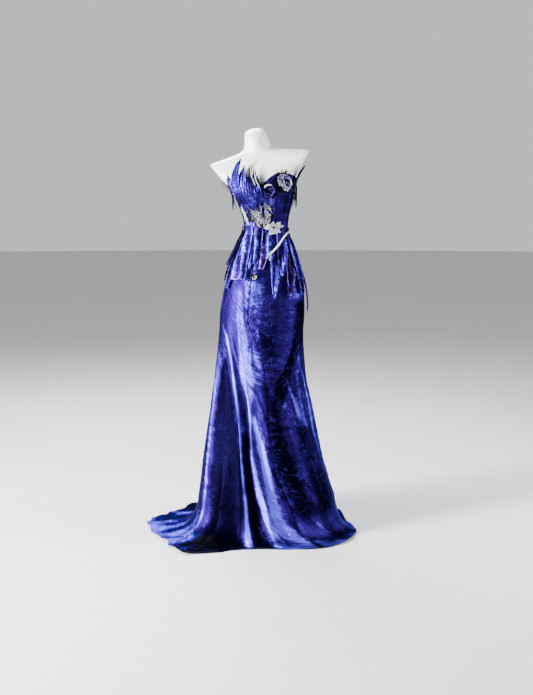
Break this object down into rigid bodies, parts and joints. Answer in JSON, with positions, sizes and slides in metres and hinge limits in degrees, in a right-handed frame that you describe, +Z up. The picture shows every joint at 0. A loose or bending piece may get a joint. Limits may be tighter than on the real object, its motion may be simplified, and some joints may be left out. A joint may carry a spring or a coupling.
{
  "type": "mermaid prom dress on a dress form",
  "caption": "Strapless cobalt taffeta gown with a leaf-and-rosette bodice, petal peplum, close trumpet skirt and small train, worn by a headless, armless white form on a stand.",
  "frame": {"origin": "on the floor, at the centre of the underside of the form's round base plate", "axes": "+Z up along the pole; -Y out of the gown's front; +X to the right of someone facing the front, which is the wearer's left"},
  "size_m": [0.8366, 0.9271, 1.577],
  "materials": {
    "blue_taffeta": "crisp cobalt taffeta with a silky sheen",
    "violet_taffeta": "crinkled violet-blue taffeta with a silky sheen",
    "silver_silk": "torn white silk",
    "black_net": "matt black net and feather strips",
    "form_skin": "smooth white",
    "stand_steel": "satin"
  },
  "bodies": {
    "root": {"form_torso": "form_skin", "form_pole": "stand_steel", "form_base": "stand_steel", "bodice_front": "blue_taffeta", "bodice_side_right": "blue_taffeta", "bodice_back_right": "blue_taffeta", "bodice_back_left": "blue_taffeta", "bodice_side_left": "blue_taffeta", "skirt_front": "blue_taffeta", "skirt_right_front": "blue_taffeta", "skirt_back_right": "blue_taffeta", "skirt_back_left": "blue_taffeta", "skirt_left_front": "blue_taffeta", "petal_left_side": "blue_taffeta", "petal_left_long": "blue_taffeta", "petal_left_front": "blue_taffeta", "petal_front": "violet_taffeta", "petal_right_front": "blue_taffeta", "petal_right_low": "violet_taffeta", "petal_right_side": "blue_taffeta", "petal_back_right_a": "blue_taffeta", "petal_back_right_b": "blue_taffeta", "petal_back_centre": "violet_taffeta", "petal_back_left_b": "blue_taffeta", "petal_back_left_a": "blue_taffeta", "flap_left_side": "violet_taffeta", "flap_left_cut": "blue_taffeta", "flap_front_left": "blue_taffeta", "flap_front_right": "blue_taffeta", "flap_right_front": "blue_taffeta", "flap_right_side": "blue_taffeta", "flap_back_right": "violet_taffeta", "flap_back_inner": "blue_taffeta", "flap_back_centre": "blue_taffeta", "flap_back_left": "violet_taffeta", "flap_back_outer": "blue_taffeta", "leaf_left": "violet_taffeta", "leaf_middle": "blue_taffeta", "leaf_inner": "blue_taffeta", "leaf_tall": "blue_taffeta", "leaf_low": "blue_taffeta", "leaf_right_up": "black_net", "strip_left": "silver_silk", "net_stomach": "silver_silk", "fringe_left": "black_net", "fringe_right": "black_net", "ruff_centre": "black_net", "rosette_centre": "violet_taffeta", "ruff_right": "black_net", "rosette_right": "silver_silk", "ruff_puff": "black_net", "rosette_puff": "silver_silk", "ruff_hip": "blue_taffeta", "rosette_hip": "violet_taffeta", "ruff_waist": "silver_silk", "rosette_waist": "silver_silk", "braid_waist": "silver_silk"}
  },
  "joints": []
}
